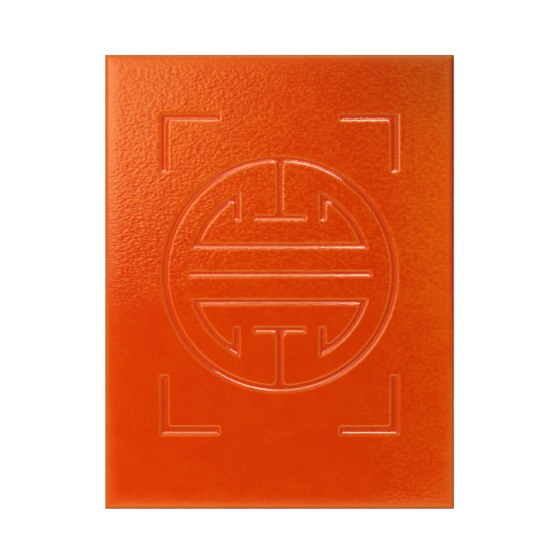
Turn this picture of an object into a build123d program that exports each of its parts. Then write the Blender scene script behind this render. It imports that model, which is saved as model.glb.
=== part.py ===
"""Glazed eaves tile: one flat slab of pressed and fired clay, with a decorated face and a plain back.

A round longevity medallion and four corner brackets are sunk in the face as lines of one section.
The slab lies on its back, decorated face up. X runs across it, Y runs along it towards its head,
and the origin is the middle of the back. Sizes are in millimetres and angles in degrees.
"""

import os
from math import radians, sqrt, tan

from build123d import *

# Fired slab. The sides lean in by the draft of the die, and the face rolls away towards its edges.
tile_width = 200.0
tile_length = 260.0
tile_thickness = 13.0
side_draft = 1.5
edge_roll_width = 10.0
edge_roll_drop = 0.45
face_edge_radius = 2.0
back_edge_radius = 0.8
plan_corner_radius = 0.8

# Section of the sunk lines. Widths are taken between the tops of the two leaning walls, before the
# shoulders are rounded.
relief_depth = 0.9
wall_draft = 65.0
shoulder_radius = 3.4
root_radius = 0.6
ring_line = 4.9
figure_line = 4.5
bracket_line = 5.7

# Medallion, measured from its centre, which stands nearer to the tile's head than its tail.
pattern_rise = 4.5
ring_radius = 66.0
figure_radius = 53.3
bar_pitch = 16.05
tee_bar_length = 31.0
hook_offset = 24.65
ring_corner_radius = 2.5
tee_corner_radius = 2.0
hook_corner_radius = 1.2

# Corner brackets, flush with the ring on its left and right.
bracket_span = 185.5
bracket_arm = 35.2
bracket_corner_radius = 1.5

wall_run = relief_depth * tan(radians(wall_draft))
ring_outside = ring_radius + ring_line / 2
ring_inside = ring_radius - ring_line / 2
tee_height = 2 * bar_pitch
hook_end = tee_height - figure_line / 2
hook_inner_side = hook_offset - figure_line / 2
hook_outer_side = hook_offset + figure_line / 2
hook_side_length = sqrt((figure_radius - figure_line) ** 2 - hook_outer_side**2) - hook_end
face_plane = Plane((0, pattern_rise, tile_thickness))


def slab_section(upright_plane, span):
    """The slab cut across one span: a flat back, two leaning sides, and a face rolled away at both edges."""
    half_base = span / 2
    rim_height = tile_thickness - edge_roll_drop
    rim_reach = half_base - rim_height * tan(radians(side_draft))
    with BuildSketch(upright_plane) as section:
        with BuildLine():
            back = Line((-half_base, 0), (half_base, 0))
            side = Line(back @ 1, (rim_reach, rim_height))
            flat = Line((0, tile_thickness), (half_base - edge_roll_width, tile_thickness))
            roll = TangentArc(flat @ 1, side @ 1, tangent=flat % 1)
            mirror((side, flat, roll), about=Plane.YZ)
        make_face()
        face_rims = section.vertices().group_by(Axis.Y)[1]
        fillet(face_rims, face_edge_radius)
        back_corners = section.vertices().group_by(Axis.Y)[0]
        fillet(back_corners, back_edge_radius)
    return section.sketch


# The outer ring, and the two tees whose stems run in from it above and below.
with BuildSketch(face_plane) as ring_and_tees:
    Circle(ring_outside)
    Circle(ring_inside, mode=Mode.SUBTRACT)
    with Locations((0, tee_height), (0, -tee_height)):
        Rectangle(tee_bar_length, figure_line)
    with BuildSketch(mode=Mode.PRIVATE) as stem:
        Rectangle(figure_line, ring_radius - tee_height, align=(Align.CENTER, Align.MIN))
    add(stem.sketch.moved(Location((0, tee_height))))
    add(stem.sketch.moved(Location((0, -ring_radius))))
    stem_corners = ring_and_tees.vertices().filter_by_position(Axis.X, -figure_line, figure_line)
    at_ring_below, at_bar_below, at_bar_above, at_ring_above = stem_corners.group_by(Axis.Y)
    fillet(at_bar_below + at_bar_above, tee_corner_radius)
    fillet(at_ring_below + at_ring_above, ring_corner_radius)

# The long bar across the middle, its ends cut to the round of the figure.
with BuildSketch(face_plane) as middle_bar:
    Rectangle(2 * figure_radius, figure_line)
    Circle(figure_radius, mode=Mode.INTERSECT)

# A crescent above the middle bar and one below it: a bar, two arcs, and a hook turned in at each end.
# The fillet in the crook of a hook is limited by the hook's side, short of the wall at its end.
with BuildSketch(face_plane) as crescents:
    Circle(figure_radius)
    Circle(figure_radius - figure_line, mode=Mode.SUBTRACT)
    with Locations((0, tee_height)):
        Rectangle(2 * hook_inner_side, 2 * figure_radius, mode=Mode.SUBTRACT)
    with Locations((0, bar_pitch)):
        Rectangle(2 * figure_radius, 2 * figure_radius, align=(Align.CENTER, Align.MAX), mode=Mode.SUBTRACT)
        Rectangle(2 * figure_radius, figure_line)
    with Locations((-hook_offset, hook_end), (hook_offset, hook_end)):
        Rectangle(figure_line, figure_radius, align=(Align.CENTER, Align.MIN))
    Circle(figure_radius, mode=Mode.INTERSECT)
    hook_joints = crescents.vertices().group_by(Axis.Y)[-2]
    fillet(hook_joints, min(hook_corner_radius, (hook_side_length - wall_run) / 3))
    mirror(about=Plane.XZ)

# Four right-angled brackets, one in each corner of the face. The outer corner is round enough for the
# floor, a wall's run further in, to keep a corner as round as its root.
with BuildSketch(face_plane) as brackets:
    outer_corner = (ring_outside, bracket_span / 2)
    with Locations(outer_corner):
        Rectangle(bracket_arm, bracket_line, align=(Align.MAX, Align.MAX))
        Rectangle(bracket_line, bracket_arm, align=(Align.MAX, Align.MAX))
    fillet(brackets.vertices().sort_by_distance(outer_corner)[1], bracket_corner_radius)
    fillet(brackets.vertices().sort_by_distance(outer_corner)[0], wall_run + root_radius)
    mirror(about=Plane.YZ)
    mirror(about=Plane.XZ)

with BuildPart() as eaves_tile:
    extrude(slab_section(Plane.XZ, tile_width), amount=tile_length / 2, both=True)
    extrude(slab_section(Plane.YZ, tile_length), amount=tile_width / 2, both=True, mode=Mode.INTERSECT)
    with BuildSketch():
        RectangleRounded(tile_width, tile_length, plan_corner_radius)
    extrude(amount=tile_thickness, mode=Mode.INTERSECT)
    for sunk_lines in (ring_and_tees, middle_bar, crescents, brackets):
        extrude(sunk_lines.sketch, amount=-relief_depth, taper=wall_draft, mode=Mode.SUBTRACT)
    back, floors, lands = eaves_tile.faces().filter_by(Plane.XY).group_by(Axis.Z)
    fillet(floors.edges(), root_radius)
    lands = eaves_tile.faces().filter_by(Plane.XY).group_by(Axis.Z)[-1]
    outline = lands.sort_by(SortBy.AREA)[-1].outer_wire().edges()
    fillet(lands.edges() - outline, shoulder_radius)

eaves_tile.part.label = "eaves_tile"
os.makedirs("parts", exist_ok=True)
export_step(eaves_tile.part, "parts/eaves_tile.step")
print("eaves_tile", round(eaves_tile.part.volume), "mm3, valid", eaves_tile.part.is_valid)
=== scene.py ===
"""A glazed eaves tile lying on a pale floor, decorated face up, seen from straight above."""

from math import atan2, cos, hypot, pi, radians, sin, sqrt, tan

import bpy
import numpy as np
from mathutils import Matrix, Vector, kdtree, noise
from mathutils.geometry import delaunay_2d_cdt


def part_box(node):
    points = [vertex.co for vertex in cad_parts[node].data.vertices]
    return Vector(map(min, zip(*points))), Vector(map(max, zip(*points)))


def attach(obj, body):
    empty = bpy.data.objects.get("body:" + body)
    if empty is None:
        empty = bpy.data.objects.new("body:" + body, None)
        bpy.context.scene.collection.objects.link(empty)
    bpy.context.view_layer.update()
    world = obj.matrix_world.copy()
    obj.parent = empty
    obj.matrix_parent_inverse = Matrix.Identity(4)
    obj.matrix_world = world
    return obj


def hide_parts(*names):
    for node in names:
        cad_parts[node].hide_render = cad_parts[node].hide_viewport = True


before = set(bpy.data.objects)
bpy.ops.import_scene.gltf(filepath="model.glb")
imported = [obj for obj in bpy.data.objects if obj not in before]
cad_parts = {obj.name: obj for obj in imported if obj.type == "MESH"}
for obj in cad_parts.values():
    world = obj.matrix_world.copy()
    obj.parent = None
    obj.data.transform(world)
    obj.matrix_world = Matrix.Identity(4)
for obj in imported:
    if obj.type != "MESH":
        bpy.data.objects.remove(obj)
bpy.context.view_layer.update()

# The pattern pressed in the face.
# A steel die sinks it in the soft clay as lines of one section: a round longevity medallion inside
# a ring, and a bracket in each corner. Sizes are in millimetres, from the middle of the medallion.
pattern_rise = 4.5
ring_radius, ring_line = 65.5, 4.4
figure_radius, figure_line = 52.65, 4.0
bar_pitch = 15.95
tee_reach = 30.3 / 2
hook_offset = 24.45
ring_corner, tee_corner, hook_corner = 2.5, 2.0, 1.2
bracket_line, bracket_span, bracket_arm, bracket_corner = 5.2, 183.7, 34.4, 1.5
bracket_side = 68.2
outline_step = 0.8

half_line = figure_line / 2
ring_outside = ring_radius + ring_line / 2
ring_inside = ring_radius - ring_line / 2
tee_height = 2 * bar_pitch
left_right, up_down, both_ways = (-1, 1), (1, -1), (-1, -1)


def straight(*corners):
    """Evenly spaced points along straight edges through the corners, without the last corner."""
    stretches = []
    for start, end in zip(np.array(corners[:-1], float), np.array(corners[1:], float)):
        count = max(1, round(hypot(*(end - start)) / outline_step))
        stretches.append(start + (end - start) * (np.arange(count) / count)[:, None])
    return np.concatenate(stretches)


def arc(centre, radius, first, last):
    """Evenly spaced points round an arc from one angle to another, without its end."""
    count = max(4, round(radius * abs(last - first) / outline_step))
    angle = first + (last - first) * np.arange(count) / count
    return np.array(centre) + radius * np.column_stack([np.cos(angle), np.sin(angle)])


def arc_corner(side, radius, corner_radius):
    """The rounded corner between an upright edge and the inside of a circle: its centre and far angle."""
    across = side + corner_radius
    up = sqrt((radius - corner_radius) ** 2 - across**2)
    return (across, up), atan2(up, across)


def mirrored_on(path, flip):
    """A path that ends on a mirror line, carried on through its mirror image."""
    return np.concatenate([path[:-1], (path * flip)[::-1]])


def flipped(loop, flip):
    """The mirror image of a closed outline, run the way that keeps the sunk line on its left."""
    return (loop * flip)[::-1]


def land_inside_ring():
    """The edge of the land inside the ring, which the two tees cut into from above and below."""
    tee_centre = (half_line + tee_corner, tee_height + half_line + tee_corner)
    ring_centre, ring_angle = arc_corner(half_line, ring_inside, ring_corner)
    quarter = np.concatenate([
        straight((0, tee_height - half_line), (tee_reach, tee_height - half_line),
                 (tee_reach, tee_height + half_line), (tee_centre[0], tee_height + half_line)),
        arc(tee_centre, tee_corner, -pi / 2, -pi),
        straight((half_line, tee_centre[1]), (half_line, ring_centre[1])),
        arc(ring_centre, ring_corner, pi, ring_angle),
        arc((0, 0), ring_inside, ring_angle, 0),
        [(ring_inside, 0)],
    ])
    return mirrored_on(mirrored_on(quarter, up_down), left_right)[:-1]


def middle_bar():
    """The long bar across the middle, its ends cut to the round of the figure."""
    end_angle = atan2(half_line, sqrt(figure_radius**2 - half_line**2))
    half = np.concatenate([
        straight((0, -half_line), (figure_radius * cos(end_angle), -half_line)),
        arc((0, 0), figure_radius, -end_angle, end_angle),
        straight((figure_radius * cos(end_angle), half_line), (0, half_line)),
        [(0, half_line)],
    ])
    return mirrored_on(half, left_right)[:-1]


def crescent():
    """The upper crescent: a bar, an arc up from each end of it, and a hook turned in from each arc."""
    hook_in, hook_out = hook_offset - half_line, hook_offset + half_line
    hook_end = tee_height - half_line
    inner_radius = figure_radius - figure_line
    tip_centre, tip_angle = arc_corner(hook_out, inner_radius, hook_corner)
    low_edge, high_edge = bar_pitch - half_line, bar_pitch + half_line
    low_end = sqrt(figure_radius**2 - low_edge**2)
    high_end = sqrt(inner_radius**2 - high_edge**2)
    hook_top = sqrt(figure_radius**2 - hook_in**2)
    half = np.concatenate([
        straight((0, low_edge), (low_end, low_edge)),
        arc((0, 0), figure_radius, atan2(low_edge, low_end), atan2(hook_top, hook_in)),
        straight((hook_in, hook_top), (hook_in, hook_end),
                 (hook_out, hook_end), (hook_out, tip_centre[1])),
        arc(tip_centre, hook_corner, pi, tip_angle),
        arc((0, 0), inner_radius, tip_angle, atan2(high_edge, high_end)),
        straight((high_end, high_edge), (0, high_edge)),
        [(0, high_edge)],
    ])
    return mirrored_on(half, left_right)[:-1]


def bracket():
    """The upper right bracket."""
    right, top = bracket_side, bracket_span / 2
    inner_x, inner_y = right - bracket_line, top - bracket_line
    return np.concatenate([
        straight((inner_x, top - bracket_arm), (right, top - bracket_arm),
                 (right, top), (right - bracket_arm, top),
                 (right - bracket_arm, inner_y), (inner_x - bracket_corner, inner_y)),
        arc((inner_x - bracket_corner, inner_y - bracket_corner), bracket_corner, pi / 2, 0),
        straight((inner_x, inner_y - bracket_corner), (inner_x, top - bracket_arm)),
    ])


outlines = [arc((0, 0), ring_outside, 0, 2 * pi), land_inside_ring(), middle_bar()]
outlines += [crescent(), flipped(crescent(), up_down)]
outlines += [bracket(), flipped(bracket(), up_down), flipped(bracket(), left_right), bracket() * both_ways]

# The die is worn, so the corners of its lines are a little soft.
wear_rounds = 3
for _ in range(wear_rounds):
    outlines = [loop / 2 + (np.roll(loop, 1, 0) + np.roll(loop, -1, 0)) / 4 for loop in outlines]
outlines = [loop + (0, pattern_rise) for loop in outlines]

# The section of the sunk lines.
# Each wall rolls over from the land and grows steeper all the way down to its root. Narrow lines have
# no floor between the roots, and the brackets a flat one. Reach is measured across the outline,
# positive on the land and negative in the line.
shoulder_reach, wall_width, wall_radius = 1.0, 3.0, 5.5
relief_depth = wall_radius - sqrt(wall_radius**2 - wall_width**2)
section_reaches = [3.0, 2.1, 1.5, 1.0, 0.65, 0.3, -0.05, -0.4, -0.75, -1.1, -1.4, -1.7, -1.95, -2.3]


def section_height(reach):
    """Height of the glazed surface above the land, at a reach across the outline."""
    down_wall = np.clip(shoulder_reach - np.asarray(reach, float), 0, wall_width)
    return np.sqrt(wall_radius**2 - down_wall**2) - wall_radius


def moved_sideways(loop, reach):
    """The outline moved to its right by a reach, its corners kept sharp."""
    ahead = np.roll(loop, -1, 0) - loop
    ahead /= np.linalg.norm(ahead, axis=1)[:, None]
    normal_ahead = np.column_stack([ahead[:, 1], -ahead[:, 0]])
    normal_behind = np.roll(normal_ahead, 1, 0)
    lean = 1 + (normal_ahead * normal_behind).sum(1)
    return loop + reach * (normal_ahead + normal_behind) / lean[:, None]


def densely(loop, pieces=4):
    """The outline with each of its steps cut into short pieces."""
    ahead = np.roll(loop, -1, 0)
    return np.concatenate([loop + (ahead - loop) * part / pieces for part in range(pieces)])


dense_outline = np.concatenate([densely(loop) for loop in outlines])
nearest_outline = kdtree.KDTree(len(dense_outline))
for index, (x, y) in enumerate(dense_outline):
    nearest_outline.insert((x, y, 0), index)
nearest_outline.balance()


def distance_to_outline(points):
    """Distance from each point to the nearest outline."""
    return np.array([nearest_outline.find((x, y, 0))[2] for x, y in points])


# The slab.
# It is pressed from fine red clay, and its sides lean in by the draft of the die. The face rolls
# away towards the edges, and its corners in plan stay square.
MM = 0.001
low_corner, high_corner = (np.array(corner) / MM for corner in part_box("eaves_tile"))
half_width, half_length, thickness = high_corner
side_draft = radians(1.5)
edge_roll_width, edge_roll_drop = 10.0, 0.45
face_edge_radius, back_edge_radius = 2.0, 0.8
plan_corner_radius, least_corner_radius = 0.8, 0.25
corner_points = 5
rim_step, side_step, land_step, back_step = 1.25, 0.75, 1.2, 4.0
field_inset = 3.0
bump_height, bump_length = 0.020, 5.5
wave_height, wave_length = 0.045, 19


def rim_loop(inset):
    """Points round the slab at an inset from its widest outline, equally many for every inset."""
    corner_radius = max(plan_corner_radius - inset, least_corner_radius)
    reach = np.array([half_width, half_length]) - inset - corner_radius
    signs = [(1, 1), (-1, 1), (-1, -1), (1, -1)]
    stretches = []
    for quarter, (sign, next_sign) in enumerate(zip(signs, signs[1:] + signs[:1])):
        angle = quarter * pi / 2 + np.linspace(0, pi / 2, corner_points)
        corner, next_corner = reach * sign, reach * next_sign
        stretches.append(corner + corner_radius * np.column_stack([np.cos(angle), np.sin(angle)]))
        side_length = 2 * half_length if quarter % 2 else 2 * half_width
        count = round(side_length / rim_step)
        shares = np.arange(1, count) / count
        stretches.append(stretches[-1][-1] + (next_corner - corner) * shares[:, None])
    return np.concatenate(stretches)


def roll_drop(points):
    """How far the face has rolled away below its flat middle."""
    drops = []
    for reach, half in ((points[:, 0], half_width), (points[:, 1], half_length)):
        past = np.clip(np.abs(reach) - (half - edge_roll_width), 0, None)
        drops.append(edge_roll_drop * (past / edge_roll_width) ** 2)
    return (drops[0] ** 3 + drops[1] ** 3) ** (1 / 3)


def face_waves(points):
    """Slow waves of the fired slab, and the broad bumps that the glaze leaves as it melts."""
    bumps = [noise.noise((x / bump_length, y / bump_length, 3.1)) for x, y in points]
    waves = [noise.noise((x / wave_length, y / wave_length, 7.7)) for x, y in points]
    return bump_height * np.array(bumps) + wave_height * np.array(waves)


# Rows of points follow every outline and the border of the face. A point that comes nearer to another
# stretch of outline than to its own is left out.
nearest_share = 0.96
rows, row_heights = [], []
for loop in outlines:
    for reach in section_reaches:
        row = moved_sideways(loop, reach)
        rows.append(row[distance_to_outline(row) > abs(reach) * nearest_share - 0.01])
        row_heights.append(np.full(len(rows[-1]), section_height(reach)))
rows.append(rim_loop(field_inset))
row_heights.append(np.zeros(len(rows[-1])))

row_starts = np.cumsum([0] + [len(row) for row in rows])
row_links = []
for start, end in zip(row_starts[:-1], row_starts[1:]):
    numbers = np.arange(start, end)
    row_links.append(np.column_stack([numbers, np.roll(numbers, -1)]))

# The open land between the rows takes an even spread of points.
land_x = np.arange(-half_width, half_width, land_step)
land_y = np.arange(-half_length, half_length, land_step * sqrt(3) / 2)
land = np.array([(x + (line % 2) * land_step / 2, y) for line, y in enumerate(land_y) for x in land_x])
clearance = land_step * 0.6
clear = field_inset + clearance
land = land[(np.abs(land[:, 0]) < half_width - clear) & (np.abs(land[:, 1]) < half_length - clear)]
land_reach = distance_to_outline(land)
in_the_open = land_reach > section_reaches[0] + clearance
rows.append(land[in_the_open])
row_heights.append(section_height(land_reach[in_the_open]))

# Triangles join the points into the field of the face, with an edge along every link. A point that they
# add where two links cross takes the height of its nearest neighbour.
flat_points, flat_heights = np.concatenate(rows), np.concatenate(row_heights)
spots, _, field_faces, sources, _, _ = delaunay_2d_cdt(
    [Vector(point) for point in flat_points], np.concatenate(row_links).tolist(), [], 0, 1e-4
)
field = np.array([tuple(spot) for spot in spots])
field_number = np.zeros(len(flat_points), int)
sunk = np.zeros(len(field))
for number, source in enumerate(sources):
    if source:
        field_number[source] = number
        sunk[number] = flat_heights[source[0]]
    else:
        closest = np.argmin(((flat_points - field[number]) ** 2).sum(1))
        sunk[number] = flat_heights[closest]
field_height = thickness + sunk - roll_drop(field) + face_waves(field)
slab_points = [np.column_stack([field, field_height])]
slab_faces = [tuple(face) for face in field_faces]

# Rings of points go from the field's border over the rim, down the side and under the back's edge.
rim_turns = np.radians([86, 72, 58, 44, 30, 16, 4])
rolled_share = (edge_roll_width - face_edge_radius) / edge_roll_width
rim_centre = thickness - edge_roll_drop * rolled_share**2 - face_edge_radius
side_inset = tan(side_draft) * rim_centre
edge_section = [
    (side_inset + face_edge_radius * (1 - cos(turn)), rim_centre + face_edge_radius * sin(turn))
    for turn in rim_turns
]
side_heights = np.arange(rim_centre - side_step, back_edge_radius + side_step / 2, -side_step)
edge_section += [(height * tan(side_draft), height) for height in side_heights]
back_turns = np.radians([-2, -32, -61, -90])
edge_section += [
    (back_edge_radius * (1 - cos(turn)), back_edge_radius * (1 + sin(turn))) for turn in back_turns
]

# The glaze stops part of the way down the side in a wavering line, and its edge is a small step there.
glaze_line, glaze_line_wander, glaze_step = 4.6, 1.3, 0.22
step_width = side_step / 0.7
ring_numbers = [field_number[row_starts[-2] : row_starts[-1]]]
above_line = []
point_count = len(field)
for inset, height in edge_section:
    ring = rim_loop(inset)
    slow_wander = np.array([noise.noise((x / 24, y / 24, 1.5)) for x, y in ring])
    quick_wander = np.array([noise.noise((x / 6, y / 6, 9.2)) for x, y in ring])
    above = height - glaze_line - glaze_line_wander * (slow_wander + 0.45 * quick_wander)
    bare = 1 - np.clip(above / step_width + 0.5, 0, 1)
    ring = ring * (1 - glaze_step * bare / np.abs(ring).max(1))[:, None]
    slab_points.append(np.column_stack([ring, np.full(len(ring), height)]))
    above_line.append(above)
    ring_numbers.append(np.arange(point_count, point_count + len(ring)))
    point_count += len(ring)
for upper, lower in zip(ring_numbers[:-1], ring_numbers[1:]):
    corners = np.column_stack([upper, lower, np.roll(lower, -1), np.roll(upper, -1)])
    slab_faces += [tuple(corner) for corner in corners.tolist()]

# The plain back closes the slab.
back_x = np.arange(-half_width, half_width, back_step)
back_y = np.arange(-half_length, half_length, back_step)
back = np.array([(x, y) for x in back_x for y in back_y])
back = back[(np.abs(back[:, 0]) < half_width - back_step) & (np.abs(back[:, 1]) < half_length - back_step)]
back_edge = slab_points[-1][:, :2]
_, _, back_faces, sources, _, _ = delaunay_2d_cdt(
    [Vector(point) for point in np.concatenate([back_edge, back])], [], [], 0, 1e-4
)
first_back_edge = point_count - len(back_edge)
back_number = [first_back_edge + source[0] for source in sources]
slab_points.append(np.column_stack([back, np.zeros(len(back))]))
slab_faces += [tuple(back_number[number] for number in reversed(face)) for face in back_faces]

slab_points = np.concatenate(slab_points)
slab_mesh = bpy.data.meshes.new("glazed_tile")
slab_mesh.from_pydata((slab_points * MM).tolist(), [], slab_faces)
slab_mesh.shade_smooth()
tile = bpy.data.objects.new("glazed_tile", slab_mesh)
bpy.context.scene.collection.objects.link(tile)

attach(tile, "root")
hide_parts("eaves_tile")

# The coat of glaze.
# It is poured over the face, and melts in the kiln. It runs thin over every edge and shoulder and pools
# in the sunk lines. Over the right edge it ran down and stayed thick. Coats are in millimetres.
coat, coat_on_shoulder, coat_in_line = 0.30, 0.19, 0.33
coat_on_rim, coat_on_side, coat_at_glaze_line = 0.12, 0.22, 0.38
# The patch at the upper left where the glaze's colour carries painted light.
upper_left_painted_light = {"centre": (-45, 80), "size": (70, 75)}


def eased(value, start, end):
    """A level from 0 to 1 that eases in and out while a value runs from start to end."""
    share = np.clip((value - start) / (end - start), 0, 1)
    return share * share * (3 - 2 * share)


def patch(points, centre, size):
    """A soft round patch of the face: 1 at its centre, and fading out over its size across and up."""
    across, up = (points[:, 0] - centre[0]) / size[0], (points[:, 1] - centre[1]) / size[1]
    return np.exp(-(across**2) - up**2)


def run_down_right(points):
    """Where the glaze ran over the right edge and stayed thick: most of all towards the head."""
    at_edge = eased(points[:, 0], half_width - 3.8, half_width - 2.6)
    short_of_head = 1 - eased(points[:, 1], half_length - 4, half_length - 2.5)
    return at_edge * eased(points[:, 1], -100, 40) * short_of_head


on_rings = slice(len(field), point_count)
ring_points = slab_points[on_rings]
above_line = np.concatenate(above_line)
from_edge = np.minimum(half_width - np.abs(field[:, 0]), half_length - np.abs(field[:, 1]))
in_line = np.clip(-sunk / relief_depth, 0, 1)
down_wall = np.sqrt(wall_radius**2 - (wall_radius + np.minimum(sunk, 0)) ** 2)
on_shoulder = np.exp(-(((down_wall - 0.75) / 0.45) ** 2))

# It is thinner along the edges, to the right and most of all towards the head there. A little
# thinning at the upper left is painted light: a yellower, brighter patch where the light falls.
field_coat = coat + (coat_in_line - coat) * in_line - (coat - coat_on_shoulder) * on_shoulder
field_coat -= 0.05 * np.exp(-np.clip(from_edge - 1.5, 0, None) / 4.0)
field_coat -= 0.09 * eased(field[:, 0], 45, 98) * (0.35 + 0.65 * eased(field[:, 1], -80, 50))
# Painted light: the glaze yellower and brighter at the upper left.
field_coat -= 0.035 * patch(field, **upper_left_painted_light)
field_coat = np.clip(field_coat, coat_on_rim, None) + 0.16 * run_down_right(field)
rim_coat = coat_on_rim + 0.24 * run_down_right(ring_points)
side_coat = coat_on_side + (coat_at_glaze_line - coat_on_side) * np.exp(-(((above_line - 0.9) / 0.7) ** 2))
ring_coat = np.where(ring_points[:, 2] > rim_centre, rim_coat, side_coat)

# Painted light and shade in the glaze's colour: darker to the right, most of all at the upper right
# corner, lighter at the upper left and a little brighter close to the left, the right and the tail edge.
# The rim and the sides get painted shade.
painted_shade_on_rim, painted_shade_on_side = 0.74, 0.85
x, y = slab_points[:, 0], slab_points[:, 1]
painted_light_and_shade = 1.04 - 0.07 * x / half_width
painted_light_and_shade -= 0.26 * patch(slab_points, (half_width, half_length), (58, 42))
painted_light_and_shade += 0.04 * patch(slab_points, **upper_left_painted_light)
painted_light_and_shade += 0.05 * np.exp(-(x + half_width) / 9) + 0.07 * np.exp(-(half_width - x) / 14)
painted_light_and_shade += 0.09 * np.exp(-(y + half_length) / 12)
painted_light_and_shade[on_rings] *= np.where(ring_points[:, 2] > rim_centre, painted_shade_on_rim, painted_shade_on_side)

# The orange peel is weak where the glaze melted flatter: over the tail's half of the face, along its
# edges and in the lines.
melted_flat = eased(-field[:, 1], -16, 26) * (1 - 0.45 * eased(field[:, 0], 42, 70))
field_peel = (1 - 0.68 * melted_flat) * (0.35 + 0.65 * eased(from_edge, 2, 10))
field_peel *= 1 - 0.8 * np.clip(3 * in_line, 0, 1)


def over_slab(on_field, on_ring, on_back):
    """One value for every point of the slab, from those of its field, its rings and its back."""
    values = np.full(len(slab_points), on_back, float)
    values[: len(field)] = on_field
    values[on_rings] = on_ring
    return values


point_values = {
    "glaze_thickness": over_slab(field_coat, ring_coat, 0),
    "above_glaze_line": over_slab(thickness, above_line, -thickness),
    "painted_light_and_shade": painted_light_and_shade,
    "peel": over_slab(field_peel, 0.35, 0.35),
}
for name, values in point_values.items():
    attribute = slab_mesh.attributes.new(name, "FLOAT", "POINT")
    attribute.data.foreach_set("value", values.astype(np.float32))


# The glaze.
# An opaque red-orange glaze, fired glossy on terracotta. It shrinks as it melts, which leaves a fine
# orange-peel grain, and it is yellower where it lies thin. Its high index gives it a strong gloss, which
# is lost where the thinnest coat has soaked into the clay.
def linear(hex_colour):
    """The linear colour of an sRGB hex value."""
    channels = [int(hex_colour[start : start + 2], 16) / 255 for start in (1, 3, 5)]
    return [c / 12.92 if c <= 0.04045 else ((c + 0.055) / 1.055) ** 2.4 for c in channels] + [1.0]


def add_node(owner, kind, inputs=(), **settings):
    """Add a node, set it up, and give each input a value or link it to another node's output."""
    node = owner.node_tree.nodes.new(kind)
    for name, value in settings.items():
        setattr(node, name, value)
    for name, value in dict(inputs).items():
        if isinstance(value, bpy.types.NodeSocket):
            owner.node_tree.links.new(value, node.inputs[name])
        else:
            node.inputs[name].default_value = value
    return node


thin_glaze, full_glaze, pooled_glaze = "#EC6C06", "#E03B02", "#D22A01"
mottle_size, peel_size = 16, 1.8

glazed_clay = bpy.data.materials.new("red_orange_glaze_on_terracotta")
glazed_clay.use_nodes = True
glazed_clay.node_tree.nodes.clear()
position = add_node(glazed_clay, "ShaderNodeTexCoord").outputs["Object"]
point_coat = add_node(glazed_clay, "ShaderNodeAttribute", attribute_name="glaze_thickness")
point_peel = add_node(glazed_clay, "ShaderNodeAttribute", attribute_name="peel")
point_shade = add_node(glazed_clay, "ShaderNodeAttribute", attribute_name="painted_light_and_shade")

# The wrinkles of the peel run a little longer across the tile than along it.
stretched = add_node(glazed_clay, "ShaderNodeVectorMath", {0: position, 1: (0.78, 1.12, 1.0)},
                     operation="MULTIPLY")
peel = add_node(glazed_clay, "ShaderNodeTexNoise",
                {"Vector": stretched.outputs[0], "Scale": 1 / (peel_size * MM),
                 "Detail": 1.5, "Roughness": 0.5})
peel_level = add_node(glazed_clay, "ShaderNodeMath", {0: peel.outputs["Fac"], 1: 0.5}, operation="SUBTRACT")
peel_height = add_node(glazed_clay, "ShaderNodeMath",
                       {0: peel_level.outputs[0], 1: point_peel.outputs["Fac"]}, operation="MULTIPLY")
peel_bump = add_node(glazed_clay, "ShaderNodeBump",
                     {"Height": peel_height.outputs[0], "Strength": 1.0, "Distance": 0.18 * MM})

# The colour follows the thickness, with a slow mottle and a little of the peel in it. The peel's dips are
# darker and its crests lighter: partly a thicker coat in the dips, partly painted shade of the relief.
mottle = add_node(glazed_clay, "ShaderNodeTexNoise",
                  {"Vector": position, "Scale": 1 / (mottle_size * MM), "Detail": 3.0})
mottled_coat = add_node(glazed_clay, "ShaderNodeMath",
                        {0: mottle.outputs["Fac"], 1: 0.08, 2: point_coat.outputs["Fac"]},
                        operation="MULTIPLY_ADD")
# Painted shade of the peel: its dips darker, its crests lighter.
coat_and_peel_shade = add_node(glazed_clay, "ShaderNodeMath",
                        {0: peel_height.outputs[0], 1: -0.31, 2: mottled_coat.outputs[0]},
                        operation="MULTIPLY_ADD")
glaze_colour = add_node(glazed_clay, "ShaderNodeValToRGB", {"Fac": coat_and_peel_shade.outputs[0]})
glaze_stops = glaze_colour.color_ramp.elements
glaze_stops[0].position, glaze_stops[0].color = 0.12, linear(thin_glaze)
glaze_stops[1].position, glaze_stops[1].color = 0.33, linear(full_glaze)
glaze_stops.new(0.44).color = linear(pooled_glaze)
# The painted light and shade is laid over the glaze's colour here.
shaded_glaze = add_node(glazed_clay, "ShaderNodeVectorMath",
                        {0: glaze_colour.outputs["Color"], 1: point_shade.outputs["Fac"]},
                        operation="MULTIPLY")
dullness = add_node(glazed_clay, "ShaderNodeMapRange",
                    {"Value": point_coat.outputs["Fac"], "From Min": coat_on_rim,
                     "From Max": coat_on_rim + 0.02, "To Min": 0.60, "To Max": 0.10})
glaze = add_node(glazed_clay, "ShaderNodeBsdfPrincipled",
                 {"Base Color": shaded_glaze.outputs[0], "Roughness": dullness.outputs[0], "IOR": 1.75,
                  "Normal": peel_bump.outputs["Normal"]})

# The bare clay of the back and the lower sides.
# It is fired red, matt and slightly sandy, with paler and smoked patches. Its sand is drawn about three
# times as coarse as it is, so that it shows.
smoked_clay, pale_clay = "#A4583A", "#C07A54"
smoke_size, sand_size = 45, 0.9

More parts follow.
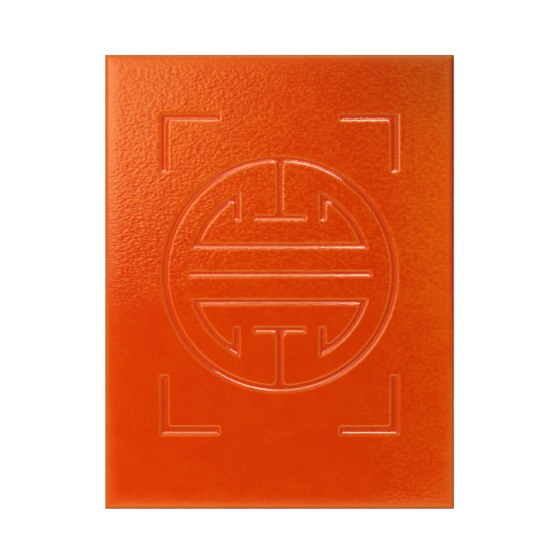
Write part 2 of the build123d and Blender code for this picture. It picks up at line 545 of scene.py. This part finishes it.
smoke = add_node(glazed_clay, "ShaderNodeTexNoise",
                 {"Vector": position, "Scale": 1 / (smoke_size * MM), "Detail": 4.0})
clay_colour = add_node(glazed_clay, "ShaderNodeValToRGB", {"Fac": smoke.outputs["Fac"]})
clay_stops = clay_colour.color_ramp.elements
clay_stops[0].position, clay_stops[0].color = 0.34, linear(smoked_clay)
clay_stops[1].position, clay_stops[1].color = 0.66, linear(pale_clay)
sand = add_node(glazed_clay, "ShaderNodeTexNoise",
                {"Vector": position, "Scale": 1 / (sand_size * MM), "Detail": 3.0})
sand_tone = add_node(glazed_clay, "ShaderNodeMapRange",
                     {"Value": sand.outputs["Fac"], "From Min": 0.3, "From Max": 0.7,
                      "To Min": 0.86, "To Max": 1.10})
sandy_clay = add_node(glazed_clay, "ShaderNodeVectorMath",
                      {0: clay_colour.outputs["Color"], 1: sand_tone.outputs[0]}, operation="MULTIPLY")
sand_bump = add_node(glazed_clay, "ShaderNodeBump",
                     {"Height": sand.outputs["Fac"], "Strength": 1.0, "Distance": 0.15 * MM})
clay = add_node(glazed_clay, "ShaderNodeBsdfPrincipled",
                {"Base Color": sandy_clay.outputs[0], "Roughness": 0.85,
                 "Normal": sand_bump.outputs["Normal"]})

# The glaze covers the clay down to its line on the side.
above_glaze_line = add_node(glazed_clay, "ShaderNodeAttribute", attribute_name="above_glaze_line")
glazed = add_node(glazed_clay, "ShaderNodeMapRange",
                  {"Value": above_glaze_line.outputs["Fac"], "From Min": -0.1, "From Max": 0.1})
surface = add_node(glazed_clay, "ShaderNodeMixShader",
                   {0: glazed.outputs[0], 1: clay.outputs[0], 2: glaze.outputs[0]})
add_node(glazed_clay, "ShaderNodeOutputMaterial", {"Surface": surface.outputs[0]})
slab_mesh.materials.append(glazed_clay)

# The floor.
# A matt white studio floor just under the tile's back. It glows to the camera alone, a little bluer
# than the warm light on it, and so it is seen as white and keeps a trace of the tile's shadow.
floor_reach, floor_drop = 6.0, 0.3 * MM
floor_white, floor_glow = "#E8E8E8", "#DADDFF"

floor_height = low_corner[2] * MM - floor_drop
floor_corners = [(x * floor_reach, y * floor_reach, floor_height)
                 for x, y in ((-1, -1), (1, -1), (1, 1), (-1, 1))]
floor_mesh = bpy.data.meshes.new("studio_floor")
floor_mesh.from_pydata(floor_corners, [], [(0, 1, 2, 3)])
floor = bpy.data.objects.new("studio_floor", floor_mesh)
bpy.context.scene.collection.objects.link(floor)

floor_paint = bpy.data.materials.new("matt_white_floor")
floor_paint.use_nodes = True
floor_paint.node_tree.nodes.clear()
floor_ray = add_node(floor_paint, "ShaderNodeLightPath")
matt_paint = add_node(floor_paint, "ShaderNodeBsdfDiffuse", {"Color": linear(floor_white)})
unlit = add_node(floor_paint, "ShaderNodeEmission", {"Strength": 0.0})
glow = add_node(floor_paint, "ShaderNodeEmission", {"Color": linear(floor_glow), "Strength": 0.85})
seen_glow = add_node(floor_paint, "ShaderNodeMixShader",
                     {0: floor_ray.outputs["Is Camera Ray"], 1: unlit.outputs[0], 2: glow.outputs[0]})
glowing_paint = add_node(floor_paint, "ShaderNodeAddShader",
                         {0: matt_paint.outputs[0], 1: seen_glow.outputs[0]})
add_node(floor_paint, "ShaderNodeOutputMaterial", {"Surface": glowing_paint.outputs[0]})
floor_mesh.materials.append(floor_paint)

# The room.
# The glaze mirrors a warm, dim room. It is dark straight overhead and palest a little way down from
# there, and parts of its walls glow. Its levels follow the cosine of the angle from straight overhead.
room_tone, wall_tone, sky_tone, window_tone = "#F9F690", "#F9F681", "#F3F6B8", "#7984A0"

world = bpy.data.worlds.new("studio")
bpy.context.scene.world = world
world.use_nodes = True
world.node_tree.nodes.clear()
ray = add_node(world, "ShaderNodeTexCoord").outputs["Generated"]
ray_parts = add_node(world, "ShaderNodeSeparateXYZ", {0: ray})
room_light = add_node(world, "ShaderNodeValToRGB", {"Fac": ray_parts.outputs["Z"]})
room_stops = room_light.color_ramp.elements
room_stops[0].position, room_stops[0].color = 0.0, (0.15, 0.15, 0.15, 1)
room_stops[1].position, room_stops[1].color = 0.97, (0.01, 0.01, 0.01, 1)
for cosine, level in ((0.44, 0.10), (0.74, 0.05), (0.80, 0.50), (0.92, 0.50), (0.955, 0.03)):
    room_stops.new(cosine).color = [level * channel for channel in linear(room_tone)[:3]] + [1]
lit_room = add_node(world, "ShaderNodeBackground", {"Color": room_light.outputs["Color"]})


def faded(level, direction, dark, bright, least=0.0):
    """A level faded by how far a ray leans one way: its least share at dark, all of it at bright."""
    lean = add_node(world, "ShaderNodeVectorMath", {0: ray, 1: (*direction, 0)}, operation="DOT_PRODUCT")
    share = add_node(world, "ShaderNodeMapRange", {"Value": lean.outputs["Value"], "From Min": dark,
                                                   "From Max": bright, "To Min": least})
    kept = add_node(world, "ShaderNodeMath", {0: level, 1: share.outputs[0]}, operation="MULTIPLY")
    return kept.outputs[0]


# Each glow has its tone, its level, and the fades that bound it. A fade has its direction over the floor,
# x to the right and y to the head, and the leans at which it is dark and bright.
room_glows = [
    # The pale wall to the upper left, whose glare lies over the upper left of the face.
    (wall_tone, 2.2, [((-0.74, 0.67), 0.115, 0.26), ((-0.74, 0.67), 0.58, 0.35, 0.08),
                      ((0.67, 0.74), -0.23, -0.08), ((0.67, 0.74), 0.25, 0.04)]),
    # The bright wall behind the head.
    (sky_tone, 3.4, [((-0.1, 0.995), 0.53, 0.61), ((-0.1, 0.995), 0.88, 0.80),
                     ((0.995, 0.1), -0.40, -0.15), ((0.995, 0.1), 0.40, 0.10)]),
    # A cooler window low on the left.
    (window_tone, 2.2, [((-1, 0), 0.16, 0.32), ((-1, 0), 0.47, 0.37), ((0, 1), -0.03, 0.12)]),
    # Fainter walls to the right and beyond the tail.
    (wall_tone, 0.08, [((0.93, 0.37), 0.04, 0.16), ((0.93, 0.37), 0.6, 0.4), ((0, 1), -0.12, 0.06)]),
    (wall_tone, 0.6, [((0, -1), 0.31, 0.38), ((0, -1), 0.60, 0.50),
                      ((1, 0), 0.6, 0.35), ((-1, 0), 0.6, 0.35)]),
]
for tone, level, fades in room_glows:
    strength = level
    for fade in fades:
        strength = faded(strength, *fade)
    wall_glow = add_node(world, "ShaderNodeBackground", {"Color": linear(tone), "Strength": strength})
    lit_room = add_node(world, "ShaderNodeAddShader", {0: lit_room.outputs[0], 1: wall_glow.outputs[0]})

# The camera sees plain white in place of the room.
white = add_node(world, "ShaderNodeBackground", {"Color": linear("#FFFFFF")})
room_ray = add_node(world, "ShaderNodeLightPath")
room = add_node(world, "ShaderNodeMixShader",
                {0: room_ray.outputs["Is Camera Ray"], 1: lit_room.outputs[0], 2: white.outputs[0]})
add_node(world, "ShaderNodeOutputWorld", {"Surface": room.outputs[0]})


# The lamps.
# A window beyond the head, whose image makes the light lines of the pattern, and two soft fills that
# light the colours but aren't mirrored in the glaze.
def softbox(name, place, size, radiance, tone):
    """A rectangular lamp that faces the tile."""
    lamp = bpy.data.lights.new(name, "AREA")
    lamp.color = linear(tone)[:3]
    lamp.shape = "RECTANGLE"
    lamp.size, lamp.size_y = size
    lamp.energy = radiance * pi * size[0] * size[1]
    box = bpy.data.objects.new(name, lamp)
    box.location = place
    box.rotation_euler = (-Vector(place)).to_track_quat("-Z", "Y").to_euler()
    bpy.context.scene.collection.objects.link(box)
    return box


softbox("window", (0.70, 2.02, 2.00), (1.0, 0.9), 5.6, "#FFFFE1")
left_fill = softbox("left_fill", (-2.45, 0.20, 1.70), (1.2, 0.9), 9.5, "#FFFFFF")
front_fill = softbox("front_fill", (0.10, -2.45, 1.70), (1.2, 0.9), 7.0, "#FFFFFF")
left_fill.visible_glossy = False
front_fill.visible_glossy = False

# The camera.
# It looks straight down from half a metre above the face, and is placed so that the tile has the size
# and place, in pixels, that it has in the photograph.
image_side = 560
tile_width_in_photo = 351.7
tile_middle_in_photo = (279.6, 281.85)
camera_height = 0.5

camera = bpy.data.objects.new("camera", bpy.data.cameras.new("camera"))
bpy.context.scene.collection.objects.link(camera)
bpy.context.scene.camera = camera
pixel = 2 * half_width * MM / tile_width_in_photo
camera.location = ((image_side / 2 - tile_middle_in_photo[0]) * pixel,
                   (tile_middle_in_photo[1] - image_side / 2) * pixel,
                   camera_height + thickness * MM)
camera.data.sensor_width = 36
camera.data.lens = camera.data.sensor_width * camera_height / (image_side * pixel)
bpy.context.scene.view_settings.view_transform = "Standard"
